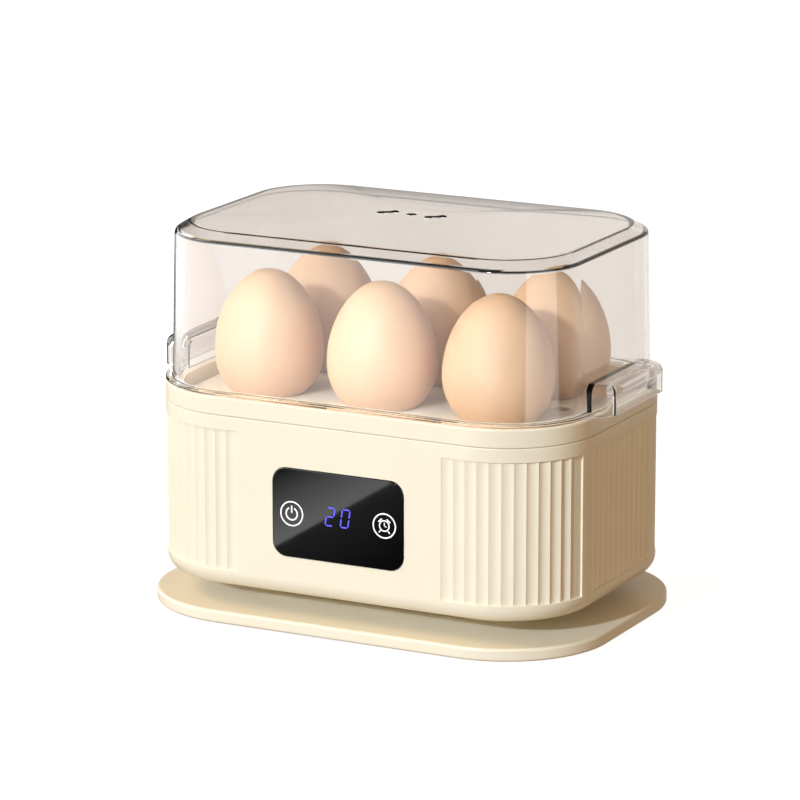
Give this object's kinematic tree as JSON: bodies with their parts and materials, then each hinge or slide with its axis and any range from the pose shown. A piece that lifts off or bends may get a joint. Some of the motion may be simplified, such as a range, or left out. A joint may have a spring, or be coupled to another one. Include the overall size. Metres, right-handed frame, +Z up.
{
  "type": "egg cooker",
  "caption": "Steam egg cooker: fluted rounded-rectangle body on a plinth, touch panel, six-hole egg tray over a heating pan, clear lift-off lid with side lugs.",
  "frame": {"origin": "floor level under the middle of the cooker", "axes": "+Z up, the control panel faces -Y, the long side runs along X"},
  "size_m": [0.204, 0.1396, 0.1628],
  "materials": {
    "cream_plastic": "satin moulded cream plastic",
    "clear_plastic": "clear, faintly smoky moulded plastic",
    "steel": "brushed stainless steel",
    "black_glass": "gloss black printed glass",
    "black_plastic": "matte black",
    "ceramic": "unglazed off-white",
    "circuit_board": "satin green board",
    "brass": "bright",
    "silicone": "matte",
    "rubber": "matte"
  },
  "bodies": {
    "base": {"board_screw_1": "steel", "board_screw_2": "steel", "board_screw_3": "steel", "board_screw_4": "steel", "body_shell": "cream_plastic", "bottom_cover": "cream_plastic", "buzzer": "black_plastic", "capacitor": "black_plastic", "control_board": "circuit_board", "control_glass": "black_glass", "display_module": "black_plastic", "element_clamp_left": "steel", "element_clamp_right": "steel", "foot_1": "rubber", "foot_2": "rubber", "foot_3": "rubber", "foot_4": "rubber", "fuse_clip": "steel", "heating_element": "steel", "heating_plate": "steel", "inlet_pin_left": "brass", "inlet_pin_right": "brass", "plate_screw_1": "steel", "plate_screw_2": "steel", "plate_screw_3": "steel", "plate_screw_4": "steel", "plate_seal": "silicone", "plinth": "cream_plastic", "plinth_neck": "cream_plastic", "plinth_screw_1": "steel", "plinth_screw_2": "steel", "plinth_screw_3": "steel", "plinth_screw_4": "steel", "power_board": "circuit_board", "power_inlet": "black_plastic", "power_screw_1": "steel", "power_screw_2": "steel", "power_screw_3": "steel", "power_screw_4": "steel", "relay": "ceramic", "rim_ring": "cream_plastic", "thermal_fuse": "ceramic", "thermostat": "ceramic", "thermostat_bracket": "steel", "touch_pad_left": "black_plastic", "touch_pad_right": "black_plastic", "transformer": "black_plastic"},
    "tray": {"egg_tray": "cream_plastic"},
    "lid": {"lid": "clear_plastic"}
  },
  "joints": [
    {"name": "tray_lift", "type": "slide", "parent": "base", "child": "tray", "axis": [0, 0, 1], "range_m": [0, 0.06]},
    {"name": "lid_lift", "type": "slide", "parent": "base", "child": "lid", "axis": [0, 0, 1], "range_m": [0, 0.12]}
  ]
}
